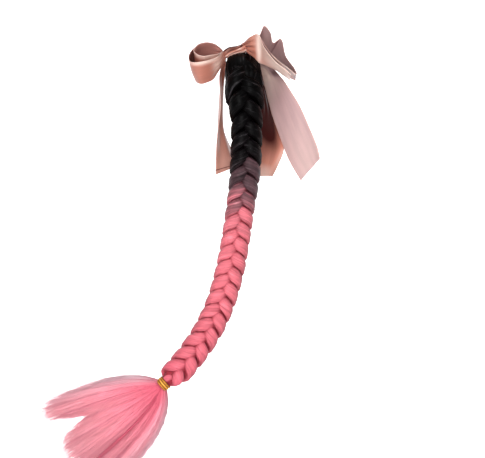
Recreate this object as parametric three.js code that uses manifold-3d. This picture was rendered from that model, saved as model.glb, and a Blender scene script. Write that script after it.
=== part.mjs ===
// Helmet ponytail: a three-strand braid of false hair, with a ribbon bow at its root and a loose tassel
// below the tie at its end.
// Millimetres. +Z is up and -Y faces the viewer.
// The origin is the middle of the fastening pad's flat back face.
import * as THREE from "three";
import Module from "manifold-3d";

const GAP = 0.4; // clearance kept between neighbouring pieces

const PAD = { radius: 21, thickness: 4, collarInner: 13.4, collarOuter: 15.4, collarHeight: 5, sides: 24 };

// Middle line of the braid from the pad to the tie.
// half: half the braid's width there. lobe: length of one lobe of the plait along the braid.
const BRAID = [
  { x: 0, y: -7.2, z: 0, half: 12.4, lobe: 90 },
  { x: 0, y: -26, z: 3.5, half: 12.6, lobe: 60 },
  { x: -1, y: -43, z: 2, half: 18.5, lobe: 40 },
  { x: -1, y: -55, z: -7, half: 23.5, lobe: 34 },
  { x: 0, y: -62, z: -24, half: 26, lobe: 32 },
  { x: 2, y: -65, z: -48, half: 25.5, lobe: 30 },
  { x: 5, y: -66, z: -70, half: 22, lobe: 27 },
  { x: 5, y: -66, z: -98, half: 21.6, lobe: 25.5 },
  { x: 4, y: -66, z: -130, half: 21.6, lobe: 25 },
  { x: 1.5, y: -65, z: -162, half: 21, lobe: 23 },
  { x: -3.4, y: -64, z: -196, half: 19.9, lobe: 21.5 },
  { x: -9.8, y: -62, z: -240, half: 19.9, lobe: 21.2 },
  { x: -18.9, y: -60, z: -288, half: 20.2, lobe: 21.5 },
  { x: -32.6, y: -58, z: -335, half: 20.2, lobe: 22.2 },
  { x: -53, y: -57, z: -377, half: 20.2, lobe: 23.5 },
  { x: -77, y: -56, z: -411, half: 20, lobe: 24.5 },
  { x: -91, y: -56, z: -427, half: 20, lobe: 25 },
  { x: -100, y: -56, z: -435.5, half: 15.4, lobe: 28 },
  { x: -105.6, y: -56, z: -440.3, half: 7.7, lobe: 37 },
  { x: -111.6, y: -56, z: -445.3, half: 7.5, lobe: 60 },
];
// Shares of the braid's half width: how far a strand swings aside and in depth, and how thick it is.
// Where it dives through the middle of the plait it is squeezed by the two shares named squeeze.
const STRAND = {
  swing: 0.6, dive: 0.46, wide: 0.408, deep: 0.354, squeezeWide: 0.5, squeezeDeep: 0.61,
  phase: 40, turn: 25, sides: 9,
};

const TIE = { inner: 8.6, outer: 10.4, groove: 9.7, windings: 3, winding: 3.5, sides: 18 };

// Locks of the tassel, each from the head along a bent path to its tip.
// out: depth of the tip before the head.
const LOCKS = [
  { bendX: -150, bendZ: -431, tipX: -281, tipZ: -468, out: 6, half: 13 },
  { bendX: -158, bendZ: -442, tipX: -285, tipZ: -486, out: -12, half: 15 },
  { bendX: -150, bendZ: -452, tipX: -276, tipZ: -504, out: 15, half: 16 },
  { bendX: -150, bendZ: -464, tipX: -258, tipZ: -520, out: -14, half: 16 },
  { bendX: -140, bendZ: -470, tipX: -256, tipZ: -542, out: 15, half: 16 },
  { bendX: -132, bendZ: -480, tipX: -244, tipZ: -562, out: -13, half: 16 },
  { bendX: -117, bendZ: -490, tipX: -224, tipZ: -580, out: 12, half: 15 },
  { bendX: -100, bendZ: -500, tipX: -190, tipZ: -582, out: -4, half: 13 },
  { bendX: -146, bendZ: -458, tipX: -250, tipZ: -500, out: 0, half: 17 },
  { bendX: -128, bendZ: -476, tipX: -222, tipZ: -548, out: 2, half: 17 },
];
// Fullness of a lock from root to tip, as shares of its half width.
const LOCK_FULLNESS = [0.3, 0.4, 0.7, 0.96, 1.06, 1, 0.76, 0.28];
const LOCK_SIDES = 8;
const TASSEL_HEAD = { radius: 7.8, length: 9, start: 2.4 };

const RIBBON = { width: 50, thickness: 1, pleats: 1, pleatDepth: 1.6, stepsPerRow: 2, across: 4 };

const WRAP = { at: 0.053, inner: 14.6, wall: 1.4, length: 11, sides: 24 };

// Middle of the bow, a gathered pillow whose axis rises to the right.
const KNOT = {
  leftX: -24.5, leftZ: 17.8, rightX: 0, rightZ: 27.3, y: -42, tall: 7, deep: 16, waist: 0.1, folds: 7,
};

// Ribbon tables. Each row is a section across the ribbon: the place of both edges seen from the front,
// the depth of its middle and the share of the ribbon's width that is left after gathering.
const LOOP_LEFT_INNER = [
  { x1: -27.9, z1: 21.8, x2: -24.2, z2: 11.4, y: -46, share: 0.24 },
  { x1: -35.4, z1: 15.5, x2: -33.6, z2: -2, y: -59, share: 0.62 },
  { x1: -45.5, z1: 12.7, x2: -43.4, z2: -12, y: -67, share: 0.88 },
  { x1: -54.7, z1: 10.5, x2: -51.8, z2: -17.5, y: -72, share: 1 },
  { x1: -63.3, z1: 12.7, x2: -59, z2: -18, y: -73, share: 1 },
  { x1: -68.6, z1: 18.5, x2: -63.6, z2: -14, y: -67, share: 1 },
  { x1: -66, z1: 25.4, x2: -61, z2: -8, y: -58, share: 1 },
  { x1: -59.8, z1: 30.5, x2: -54.6, z2: -2.8, y: -51, share: 1 },
  { x1: -49.8, z1: 32.6, x2: -45.5, z2: 0, y: -46, share: 1 },
  { x1: -38.4, z1: 30.5, x2: -36, z2: 5, y: -42, share: 0.8 },
  { x1: -30.4, z1: 25, x2: -28.2, z2: 9.4, y: -41, share: 0.42 },
  { x1: -27.9, z1: 21.8, x2: -24.2, z2: 11.4, y: -41, share: 0.24 },
];
const LOOP_LEFT_OUTER = [
  { x1: -27.9, z1: 21.8, x2: -24.2, z2: 11.4, y: -51.5, share: 0.24 },
  { x1: -35.4, z1: 10.5, x2: -35.8, z2: -9, y: -69, share: 0.66 },
  { x1: -45.5, z1: 5, x2: -42, z2: -18, y: -78, share: 0.9 },
  { x1: -54.7, z1: 1.4, x2: -50.4, z2: -22.6, y: -84, share: 1 },
  { x1: -63.5, z1: 0, x2: -58, z2: -25, y: -86, share: 1 },
  { x1: -72.4, z1: 1.4, x2: -64.6, z2: -23, y: -80, share: 1 },
  { x1: -75, z1: 8.6, x2: -68, z2: -17, y: -70, share: 1 },
  { x1: -71.6, z1: 19, x2: -66, z2: -9.5, y: -57, share: 1 },
  { x1: -61, z1: 28.5, x2: -55, z2: -2.5, y: -44, share: 1 },
  { x1: -46, z1: 30, x2: -42, z2: -1, y: -37, share: 1 },
  { x1: -33, z1: 26, x2: -31, z2: 9, y: -36, share: 0.46 },
  { x1: -27.9, z1: 21.8, x2: -24.2, z2: 11.4, y: -36, share: 0.24 },
];
const LOOP_RIGHT_OUTER = [
  { x1: 0.1, z1: 32.9, x2: 3.9, z2: 22.5, y: -51.5, share: 0.24 },
  { x1: 9.8, z1: 38.5, x2: 11.2, z2: 14, y: -67, share: 0.72 },
  { x1: 21, z1: 40.6, x2: 21, z2: 5.6, y: -76, share: 1 },
  { x1: 28.8, z1: 21.6, x2: 31.5, z2: 1.6, y: -81, share: 1 },
  { x1: 44.8, z1: 0.8, x2: 47.4, z2: -5.4, y: -80, share: 1 },
  { x1: 55.4, z1: -7.4, x2: 57, z2: -12, y: -78, share: 1 },
  { x1: 65.6, z1: -15.8, x2: 65.9, z2: -18.4, y: -74, share: 1 },
  { x1: 56.5, z1: -4.8, x2: 58, z2: -10, y: -72.5, share: 1 },
  { x1: 46.2, z1: 3.6, x2: 49, z2: -4, y: -73, share: 1 },
  { x1: 30.4, z1: 24, x2: 33.5, z2: 4, y: -73, share: 1 },
  { x1: 21.5, z1: 37.5, x2: 21.8, z2: 7, y: -69, share: 1 },
  { x1: 10.4, z1: 36.5, x2: 11.6, z2: 15, y: -60.5, share: 0.72 },
  { x1: 0.1, z1: 32.9, x2: 3.9, z2: 22.5, y: -46.4, share: 0.24 },
];
const LOOP_RIGHT_INNER = [
  { x1: 0.1, z1: 32.9, x2: 3.9, z2: 22.5, y: -41.2, share: 0.24 },
  { x1: 13, z1: 35.6, x2: 14, z2: 14.5, y: -53, share: 0.68 },
  { x1: 25.2, z1: 35, x2: 26.6, z2: 7.5, y: -62, share: 1 },
  { x1: 32.6, z1: 21.6, x2: 36.5, z2: 4, y: -66, share: 1 },
  { x1: 49.8, z1: 3.7, x2: 52.6, z2: -1.7, y: -66, share: 1 },
  { x1: 61, z1: -4.2, x2: 62.6, z2: -9.2, y: -63, share: 1 },
  { x1: 73.8, z1: -13.6, x2: 74.2, z2: -17.4, y: -55, share: 1 },
  { x1: 72.4, z1: -5.4, x2: 65, z2: -12.6, y: -45, share: 1 },
  { x1: 60, z1: 13.6, x2: 50, z2: -2.5, y: -39, share: 1 },
  { x1: 53, z1: 38.8, x2: 37.5, z2: 12.5, y: -35, share: 1 },
  { x1: 42.6, z1: 33.4, x2: 30.5, z2: 15, y: -31.5, share: 0.96 },
  { x1: 38.4, z1: 48.4, x2: 26, z2: 20.5, y: -28.5, share: 1 },
  { x1: 30, z1: 58, x2: 18, z2: 27.5, y: -26, share: 1 },
  { x1: 22.4, z1: 42.5, x2: 13.5, z2: 24.5, y: -27.5, share: 0.76 },
  { x1: 10, z1: 36, x2: 9, z2: 24.8, y: -32, share: 0.45 },
  { x1: 0.1, z1: 32.9, x2: 3.9, z2: 22.5, y: -36.2, share: 0.24 },
];
const TAIL_LEFT = [
  { x1: -26.3, z1: 19.6, x2: -24.7, z2: 15.2, y: -31, share: 0.1 },
  { x1: -31.5, z1: 1, x2: -25, z2: -1, y: -18, share: 0.32 },
  { x1: -34.2, z1: -20, x2: -28.4, z2: -20, y: -28, share: 0.86 },
  { x1: -34, z1: -43, x2: -28.6, z2: -43, y: -33, share: 1 },
  { x1: -34.2, z1: -64, x2: -29, z2: -68, y: -34, share: 1 },
  { x1: -35.7, z1: -83, x2: -27, z2: -87, y: -35, share: 1 },
  { x1: -37, z1: -104, x2: -18, z2: -111, y: -36, share: 1 },
  { x1: -38, z1: -128, x2: -8.4, z2: -127, y: -37, share: 1 },
  { x1: -38.4, z1: -152, x2: -4.2, z2: -137, y: -38, share: 1.05 },
];
const TAIL_RIGHT_FRONT = [
  { x1: 2.8, z1: 24.2, x2: 1.6, z2: 27.6, y: -30.8, share: 0.08 },
  { x1: 12.4, z1: 12.3, x2: 14.8, z2: 17.3, y: -14, share: 0.16 },
  { x1: 22, z1: 6, x2: 31, z2: 13, y: -10, share: 0.28 },
  { x1: 29, z1: -8, x2: 48, z2: -6, y: -16, share: 0.6 },
  { x1: 31.5, z1: -25, x2: 60, z2: -22, y: -30, share: 0.95 },
  { x1: 35.5, z1: -47.6, x2: 68.6, z2: -36.4, y: -38, share: 1 },
  { x1: 40.6, z1: -65.8, x2: 79.8, z2: -56, y: -42, share: 1 },
  { x1: 51.8, z1: -96.6, x2: 92.4, z2: -85.4, y: -45, share: 1 },
  { x1: 65.4, z1: -130, x2: 103.6, z2: -114.8, y: -47, share: 1 },
  { x1: 82.6, z1: -159.6, x2: 107, z2: -130, y: -48, share: 0.95 },
];
const TAIL_RIGHT_BACK = [
  { x1: 17.2, z1: 0.5, x2: 17.2, z2: 6.5, y: -26, share: 0.12 },
  { x1: 18.2, z1: -7, x2: 26, z2: -4.5, y: -15, share: 0.5 },
  { x1: 19.5, z1: -18, x2: 28.8, z2: -17, y: -17, share: 0.5 },
  { x1: 22, z1: -30, x2: 35, z2: -30, y: -17, share: 0.5 },
  { x1: 22, z1: -55, x2: 42, z2: -57, y: -24, share: 0.66 },
  { x1: 12, z1: -84, x2: 47.6, z2: -78, y: -26, share: 0.96 },
  { x1: 12.6, z1: -112, x2: 58.8, z2: -112, y: -26, share: 1 },
  { x1: 15.4, z1: -135, x2: 50.4, z2: -137, y: -28, share: 1 },
  { x1: 21, z1: -154, x2: 42, z2: -152.6, y: -29, share: 0.85 },
];

const COLOURS = {
  pad: 0x17171a, ribbon: 0xb9857a, black: 0x141214, gold: 0xd9a24a, pink: 0xee8595,
};

const { Manifold, Mesh } = await Module().then((module) => (module.setup(), module));

// Solid from a grid of points: row after row of closed rings, with a fan over the first and the last ring.
function tube(rings) {
  const sides = rings[0].length;
  const points = rings.flat();
  const faces = [];
  for (let i = 0; i + 1 < rings.length; i += 1) {
    for (let j = 0; j < sides; j += 1) {
      const a = i * sides + j;
      const b = i * sides + ((j + 1) % sides);
      faces.push(a, b, a + sides, b, b + sides, a + sides);
    }
  }
  for (const [ring, turned] of [[0, false], [rings.length - 1, true]]) {
    const middle = new THREE.Vector3();
    rings[ring].forEach((point) => middle.addScaledVector(point, 1 / sides));
    const hub = points.push(middle) - 1;
    for (let j = 0; j < sides; j += 1) {
      const a = ring * sides + j;
      const b = ring * sides + ((j + 1) % sides);
      if (turned) faces.push(hub, a, b);
      else faces.push(hub, b, a);
    }
  }
  return solid(points, faces);
}

// Geometry from points and faces, turned so that it encloses a positive volume.
function solid(points, faces) {
  let volume = 0;
  for (let i = 0; i < faces.length; i += 3) {
    const [a, b, c] = [points[faces[i]], points[faces[i + 1]], points[faces[i + 2]]];
    volume += a.dot(new THREE.Vector3().crossVectors(b, c));
  }
  const outward = volume > 0 ? faces : faces.slice().reverse();
  const geometry = new THREE.BufferGeometry();
  geometry.setAttribute("position", new THREE.Float32BufferAttribute(points.flatMap((p) => p.toArray()), 3));
  geometry.setIndex(outward);
  geometry.computeVertexNormals();
  return geometry;
}

function named(name, geometry, color, roughness, metalness = 0) {
  const mesh = new THREE.Mesh(geometry, new THREE.MeshStandardMaterial({ color, roughness, metalness }));
  mesh.name = name;
  return mesh;
}

// Disc with a short collar round the hair, turned about the line of sight.
function fasteningPad() {
  const profile = [
    [0, 0], [PAD.radius, 0], [PAD.radius, PAD.thickness], [PAD.collarOuter, PAD.thickness],
    [PAD.collarOuter, PAD.thickness + PAD.collarHeight], [PAD.collarInner, PAD.thickness + PAD.collarHeight],
    [PAD.collarInner, PAD.thickness], [0, PAD.thickness],
  ];
  return lathe(profile, PAD.sides).rotateX(Math.PI);
}

// Solid of revolution about +Y from [radius, height] pairs; pairs with no radius become single points.
function lathe(profile, sides) {
  const points = [];
  const rings = profile.map(([radius, height]) => {
    const count = radius === 0 ? 1 : sides;
    return Array.from({ length: sides }, (_, j) => {
      if (j >= count) return points.length - 1;
      const angle = (2 * Math.PI * j) / sides;
      return points.push(new THREE.Vector3(radius * Math.cos(angle), height, radius * Math.sin(angle))) - 1;
    });
  });
  const open = profile[0][0] === 0;
  const faces = [];
  for (let i = 0; i < rings.length - (open ? 1 : 0); i += 1) {
    const [low, high] = [rings[i], rings[(i + 1) % rings.length]];
    for (let j = 0; j < sides; j += 1) {
      const k = (j + 1) % sides;
      if (low[j] !== low[k]) faces.push(low[j], low[k], high[j]);
      if (high[j] !== high[k]) faces.push(low[k], high[k], high[j]);
    }
  }
  return solid(points, faces);
}

// The braid's middle line in fine steps, with a frame, its half width and the plait's phase at each step.
function braidLine() {
  const steps = 900;
  const path = new THREE.CatmullRomCurve3(BRAID.map((row) => new THREE.Vector3(row.x, row.y, row.z)));
  const sizes = new THREE.CatmullRomCurve3(BRAID.map((row) => new THREE.Vector3(row.half, row.lobe, 0)));
  const line = [];
  let phase = 0;
  for (let i = 0; i <= steps; i += 1) {
    const u = i / steps;
    const point = path.getPoint(u);
    const along = path.getTangent(u);
    const side = new THREE.Vector3(1, 0, 0).addScaledVector(along, -along.x).normalize();
    const front = new THREE.Vector3().crossVectors(along, side);
    const { x: half, y: lobe } = sizes.getPoint(u);
    if (i > 0) phase += (360 * point.distanceTo(line[i - 1].point)) / (3 * lobe);
    line.push({ point, along, side, front, half, phase });
  }
  return line;
}

// Place on the braid's middle line where the plait has the given phase.
function atPhase(line, phase) {
  let low = 0;
  let high = line.length - 1;
  while (high - low > 1) {
    const middle = (low + high) >> 1;
    if (line[middle].phase > phase) high = middle;
    else low = middle;
  }
  const share = (phase - line[low].phase) / (line[high].phase - line[low].phase);
  const blend = (key) => line[low][key].clone().lerp(line[high][key], share);
  return {
    point: blend("point"), side: blend("side").normalize(), front: blend("front").normalize(),
    half: THREE.MathUtils.lerp(line[low].half, line[high].half, share),
  };
}

// One strand swings from side to side once while it dives to the front and the back twice.
function strand(line, number) {
  const offset = STRAND.phase + number * 120;
  const angleAt = (phase) => THREE.MathUtils.degToRad(phase + offset);
  const middle = (phase) => {
    const place = atPhase(line, phase);
    const angle = angleAt(phase);
    return place.point
      .addScaledVector(place.side, STRAND.swing * place.half * Math.sin(angle))
      .addScaledVector(place.front, STRAND.dive * place.half * Math.sin(2 * angle));
  };
  const last = line[line.length - 1].phase;
  const count = Math.round(last / STRAND.turn);
  const rings = [];
  for (let i = 0; i <= count; i += 1) {
    const phase = (last * i) / count;
    const place = atPhase(line, phase);
    const heading = middle(Math.min(phase + 2, last)).sub(middle(Math.max(phase - 2, 0))).normalize();
    const across = new THREE.Vector3().crossVectors(place.front, heading).normalize();
    const deep = new THREE.Vector3().crossVectors(heading, across);
    const inside = Math.cos(angleAt(phase)) ** 4;
    const wideHalf = STRAND.wide * place.half * (1 - STRAND.squeezeWide * inside);
    const deepHalf = STRAND.deep * place.half * (1 - STRAND.squeezeDeep * inside);
    rings.push(Array.from({ length: STRAND.sides }, (_, j) => {
      const angle = (2 * Math.PI * j) / STRAND.sides;
      return middle(phase)
        .addScaledVector(across, wideHalf * Math.cos(angle))
        .addScaledVector(deep, deepHalf * Math.sin(angle));
    }));
  }
  return tube(rings);
}

// Turns a solid made about +Y so that its axis runs along a direction, and moves it to a place.
function along(geometry, direction, place) {
  const turn = new THREE.Quaternion().setFromUnitVectors(new THREE.Vector3(0, 1, 0), direction);
  return geometry.applyQuaternion(turn).translate(place.x, place.y, place.z);
}

// Elastic wound a few times round the end of the braid.
function hairTie(line) {
  const length = TIE.windings * TIE.winding;
  const profile = [[TIE.inner, length / 2], [TIE.inner, -length / 2]];
  for (let i = 0; i < TIE.windings; i += 1) {
    const low = -length / 2 + i * TIE.winding;
    profile.push([TIE.groove, low + 0.1]);
    profile.push([TIE.outer, low + TIE.winding * 0.3], [TIE.outer, low + TIE.winding * 0.7]);
  }
  profile.push([TIE.groove, length / 2]);
  const end = line[line.length - 1];
  return along(lathe(profile, TIE.sides), end.along, end.point);
}

// Locks of loose hair fused to a short head inside the tie.
function tassel(line) {
  const end = line[line.length - 1];
  const from = end.point.clone().addScaledVector(end.along, TASSEL_HEAD.start);
  const head = lathe([[0, 0], [TASSEL_HEAD.radius, 0], [TASSEL_HEAD.radius * 0.7, TASSEL_HEAD.length],
    [0, TASSEL_HEAD.length]], 12);
  let fused = toManifold(along(head, end.along, from));
  const start = from.clone().addScaledVector(end.along, TASSEL_HEAD.length * 0.5);
  for (const row of LOCKS) {
    const bend = new THREE.Vector3(row.bendX, start.y, row.bendZ);
    const tip = new THREE.Vector3(row.tipX, start.y - row.out, row.tipZ);
    const path = new THREE.QuadraticBezierCurve3(start, bend, tip);
    const rings = LOCK_FULLNESS.map((fullness, i) => {
      const u = i / (LOCK_FULLNESS.length - 1);
      const heading = path.getTangent(u);
      const across = new THREE.Vector3().crossVectors(heading, new THREE.Vector3(0, 1, 0)).normalize();
      const deep = new THREE.Vector3().crossVectors(heading, across);
      return Array.from({ length: LOCK_SIDES }, (_, j) => {
        const angle = (2 * Math.PI * j) / LOCK_SIDES;
        return path.getPoint(u)
          .addScaledVector(across, row.half * fullness * Math.cos(angle))
          .addScaledVector(deep, row.half * fullness * 0.9 * Math.sin(angle));
      });
    });
    fused = fused.add(toManifold(tube(rings)));
  }
  return fromManifold(fused);
}

function toManifold(geometry) {
  return new Manifold(new Mesh({
    numProp: 3,
    vertProperties: new Float32Array(geometry.getAttribute("position").array),
    triVerts: new Uint32Array(geometry.getIndex().array),
  }));
}

function fromManifold(body) {
  const mesh = body.getMesh();
  const geometry = new THREE.BufferGeometry();
  geometry.setAttribute("position", new THREE.Float32BufferAttribute(mesh.vertProperties, 3));
  geometry.setIndex(Array.from(mesh.triVerts));
  geometry.computeVertexNormals();
  return geometry;
}

// Turn of ribbon round the root of the hair.
function ribbonWrap(line) {
  const place = line[Math.round(WRAP.at * (line.length - 1))];
  const [low, high] = [-WRAP.length / 2, WRAP.length / 2];
  const outer = WRAP.inner + WRAP.wall;
  const profile = [[WRAP.inner, high], [WRAP.inner, low], [outer, low + 0.8], [outer, high - 0.8]];
  return along(lathe(profile, WRAP.sides), place.along, place.point);
}

// Gathered pillow with folds that run along its axis from end to end.
function bowKnot() {
  const left = new THREE.Vector3(KNOT.leftX, KNOT.y, KNOT.leftZ);
  const right = new THREE.Vector3(KNOT.rightX, KNOT.y, KNOT.rightZ);
  const axis = right.clone().sub(left).normalize();
  const up = new THREE.Vector3().crossVectors(axis, new THREE.Vector3(0, 1, 0)).normalize();
  const steps = 6;
  const sides = KNOT.folds * 4;
  const rings = Array.from({ length: steps + 1 }, (_, i) => {
    const u = i / steps;
    const swell = 1 - KNOT.waist * Math.cos(2 * Math.PI * u) - KNOT.waist;
    return Array.from({ length: sides }, (_unused, j) => {
      const angle = (2 * Math.PI * j) / sides;
      const fold = swell * (1 + 0.05 * Math.cos(KNOT.folds * angle + 2 * u));
      return left.clone().lerp(right, u)
        .addScaledVector(up, KNOT.tall * fold * Math.sin(angle))
        .addScaledVector(new THREE.Vector3(0, 1, 0), KNOT.deep * fold * Math.cos(angle));
    });
  });
  return tube(rings);
}

// Ribbon through a table of sections. The edge on the near side leans towards the viewer by as much as
// the ribbon's width needs, and gathered stretches are pleated.
function ribbon(table, near) {
  const edge = (key) => new THREE.CatmullRomCurve3(table.map((row) => {
    const seen = Math.hypot(row.x1 - row.x2, row.z1 - row.z2);
    const lean = Math.sqrt(Math.max((RIBBON.width * row.share) ** 2 - seen ** 2, 0)) / 2;
    return new THREE.Vector3(row[`x${key}`], row.y + (key === near ? -lean : lean), row[`z${key}`]);
  }));
  const shares = new THREE.CatmullRomCurve3(table.map((row) => new THREE.Vector3(row.share, 0, 0)));
  const [first, second] = [edge(1), edge(2)];
  const middle = [];
  const steps = RIBBON.stepsPerRow * (table.length - 1);
  for (let i = 0; i <= steps; i += 1) {
    const u = i / steps;
    const share = shares.getPoint(u).x;
    const gathered = Math.max(1 - share, 0);
    const [a, b] = [first.getPoint(u), second.getPoint(u)];
    const heading = first.getTangent(u).add(second.getTangent(u)).normalize();
    const normal = new THREE.Vector3().crossVectors(heading, b.clone().sub(a)).normalize();
    middle.push(Array.from({ length: RIBBON.across + 1 }, (_, j) => {
      const v = j / RIBBON.across;
      const wave = Math.sin(2 * Math.PI * RIBBON.pleats * v);
      const pleat = RIBBON.pleatDepth * gathered * Math.min(4 * share, 1) * wave;
      return a.clone().lerp(b, v).addScaledVector(normal, pleat);
    }));
  }
  return sheet(middle, RIBBON.thickness);
}

// Closed wall of even thickness about a grid of points.
function sheet(grid, thickness) {
  const rows = grid.length;
  const columns = grid[0].length;
  const at = (i, j) => grid[THREE.MathUtils.clamp(i, 0, rows - 1)][THREE.MathUtils.clamp(j, 0, columns - 1)];
  const front = [];
  const back = [];
  for (let i = 0; i < rows; i += 1) {
    for (let j = 0; j < columns; j += 1) {
      const down = at(i + 1, j).clone().sub(at(i - 1, j));
      const across = at(i, j + 1).clone().sub(at(i, j - 1));
      const normal = new THREE.Vector3().crossVectors(down, across).normalize();
      front.push(at(i, j).clone().addScaledVector(normal, thickness / 2));
      back.push(at(i, j).clone().addScaledVector(normal, -thickness / 2));
    }
  }
  const shift = front.length;
  const faces = [];
  for (let i = 0; i + 1 < rows; i += 1) {
    for (let j = 0; j + 1 < columns; j += 1) {
      const a = i * columns + j;
      const [b, c, d] = [a + 1, a + columns, a + columns + 1];
      faces.push(a, c, b, b, c, d);
      faces.push(shift + a, shift + b, shift + c, shift + b, shift + d, shift + c);
    }
  }
  const rim = [];
  for (let j = 0; j + 1 < columns; j += 1) rim.push(j);
  for (let i = 0; i + 1 < rows; i += 1) rim.push(i * columns + columns - 1);
  for (let j = columns - 1; j > 0; j -= 1) rim.push((rows - 1) * columns + j);
  for (let i = rows - 1; i > 0; i -= 1) rim.push(i * columns);
  rim.forEach((a, k) => {
    const b = rim[(k + 1) % rim.length];
    faces.push(a, b, shift + a, b, shift + b, shift + a);
  });
  return solid([...front, ...back], faces);
}

const line = braidLine();
const group = new THREE.Group();
group.name = "helmet_ponytail";
group.add(named("fastening_pad", fasteningPad(), COLOURS.pad, 0.9));
group.add(named("ribbon_wrap", ribbonWrap(line), COLOURS.ribbon, 0.45));
for (const number of [1, 2, 3]) {
  group.add(named(`strand_${number}`, strand(line, number), COLOURS.pink, 0.5));
}
group.add(named("hair_tie", hairTie(line), COLOURS.gold, 0.35, 0.6));
group.add(named("tassel", tassel(line), COLOURS.pink, 0.55));
group.add(named("bow_knot", bowKnot(), COLOURS.ribbon, 0.45));
group.add(named("loop_left_inner", ribbon(LOOP_LEFT_INNER, 1), COLOURS.ribbon, 0.45));
group.add(named("loop_left_outer", ribbon(LOOP_LEFT_OUTER, 1), COLOURS.ribbon, 0.45));
group.add(named("loop_right_inner", ribbon(LOOP_RIGHT_INNER, 1), COLOURS.ribbon, 0.45));
group.add(named("loop_right_outer", ribbon(LOOP_RIGHT_OUTER, 1), COLOURS.ribbon, 0.45));
group.add(named("tail_left", ribbon(TAIL_LEFT, 1), COLOURS.ribbon, 0.45));
group.add(named("tail_right_front", ribbon(TAIL_RIGHT_FRONT, 2), COLOURS.ribbon, 0.45));
group.add(named("tail_right_back", ribbon(TAIL_RIGHT_BACK, 1), COLOURS.ribbon, 0.45));

export default group;
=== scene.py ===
"""Helmet ponytail: plaited false hair with a satin bow at its root and a loose tassel below a gold tie.

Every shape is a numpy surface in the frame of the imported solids. Tables are in millimetres and meshes
in metres. The viewer is at minus y.
"""
import math

import bpy
import numpy as np
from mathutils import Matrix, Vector


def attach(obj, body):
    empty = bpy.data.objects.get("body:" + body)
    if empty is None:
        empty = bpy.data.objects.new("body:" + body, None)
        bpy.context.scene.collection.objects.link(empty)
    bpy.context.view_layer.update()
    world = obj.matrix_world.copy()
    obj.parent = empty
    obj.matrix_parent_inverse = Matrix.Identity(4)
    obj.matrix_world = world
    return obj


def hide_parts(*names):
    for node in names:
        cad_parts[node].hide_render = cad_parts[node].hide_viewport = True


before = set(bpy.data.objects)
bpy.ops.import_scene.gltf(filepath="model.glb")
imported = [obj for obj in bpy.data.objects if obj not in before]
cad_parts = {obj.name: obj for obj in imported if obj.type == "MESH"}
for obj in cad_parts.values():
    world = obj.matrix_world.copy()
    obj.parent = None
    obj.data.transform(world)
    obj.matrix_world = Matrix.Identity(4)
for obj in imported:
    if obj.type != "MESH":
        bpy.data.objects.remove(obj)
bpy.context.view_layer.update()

MM = 0.001
FRAME_PIXELS = (485, 458)
MM_PER_PIXEL = 1.4
ORIGIN_PIXEL = (243, 66)

TO_VIEWER = np.array([0.0, -1, 0])

rng = np.random.default_rng(20)

# Middle line of the braid from the pad to the tie: x, y, z, half width, length of one lobe.
BRAID = np.array([
    (0, -7.2, 0, 12.4, 90),
    (0, -26, 3.5, 12.6, 60),
    (-0.6, -43, 2, 19, 40),
    (0, -55, -7, 24.6, 34),
    (0.8, -62, -24, 26.8, 32),
    (3, -65, -48, 26.4, 30),
    (5, -66, -70, 22, 27),
    (5, -66, -98, 21.6, 25.5),
    (4, -66, -130, 21.6, 25),
    (1.5, -65, -162, 21, 23),
    (-3.4, -64, -196, 19.9, 21.5),
    (-9.8, -62, -240, 19.9, 21.2),
    (-18.9, -60, -288, 20.2, 21.5),
    (-32.6, -58, -335, 20.2, 22.2),
    (-53, -57, -377, 20.2, 23.5),
    (-77, -56, -411, 20, 24.5),
    (-91, -56, -427, 20, 25),
    (-100, -56, -435.5, 17, 28),
    (-105.6, -56, -440.3, 10.5, 36),
    (-111.6, -56, -445.3, 7.5, 60),
])
# Course of a strand in degrees: where the plait starts, and how far the dive is ahead of the swing.
STRAND_PHASE = 40
STRAND_LEAD = 35
# In shares of the braid's half width: swing aside, dive to front and back, own half width and half depth.
STRAND_SWING = 0.67
STRAND_DIVE = 0.41
STRAND_WIDE = 0.45
STRAND_DEEP = 0.355
# Power of its squarish section, and the share of its swing that goes up the braid.
STRAND_SQUARE = 2.5
STRAND_SLANT = 0.12
# Millimetres by which each strand changes colour later, by its number.
STRAND_LATER = {1: 5, 2: 8, 3: -9}

# Locks of the tassel across its fan: bend x, bend z, tip x, tip z.
FAN = np.array([
    (-150, -431, -281, -468),
    (-158, -442, -285, -486),
    (-150, -452, -276, -504),
    (-150, -464, -258, -520),
    (-140, -470, -256, -542),
    (-132, -480, -244, -562),
    (-117, -490, -224, -580),
    (-100, -500, -190, -582),
])

# Gap between two groups of locks at the tips: place across the fan, half width, share of the length.
TIP_GAP = (0.345, 0.06, 0.2)
# Half thickness of the tassel at its widest place, across the fan and through it.
FAN_ASIDE = 13.5
FAN_DEPTH = 15
# Millimetres of the hair's colours from the tie to the tips.
TASSEL_RUN = 150
# Grooves that open in the tassel's front, with painted shade along them: place across the fan, half width.
GROOVES = ((0.8, 0.034), (0.9, 0.014), (0.66, 0.008), (0.53, 0.014), (0.37, 0.008), (0.24, 0.014),
           (0.12, 0.007))

RIBBON_WIDTH = 50
RIBBON_THICKNESS = 0.7
# Depth of a hem, place and half width of its seam, and the distance given to ribbon that has no hem.
HEM_DEPTH = 4.5
SEAM = (4.4, 0.55)
NO_HEM = 90.0
# How deep the pleats are, in shares of what would take up all the hidden width.
RIBBON_CRIMP = {"hung": 0.15, "gathered": 0.8}

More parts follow.
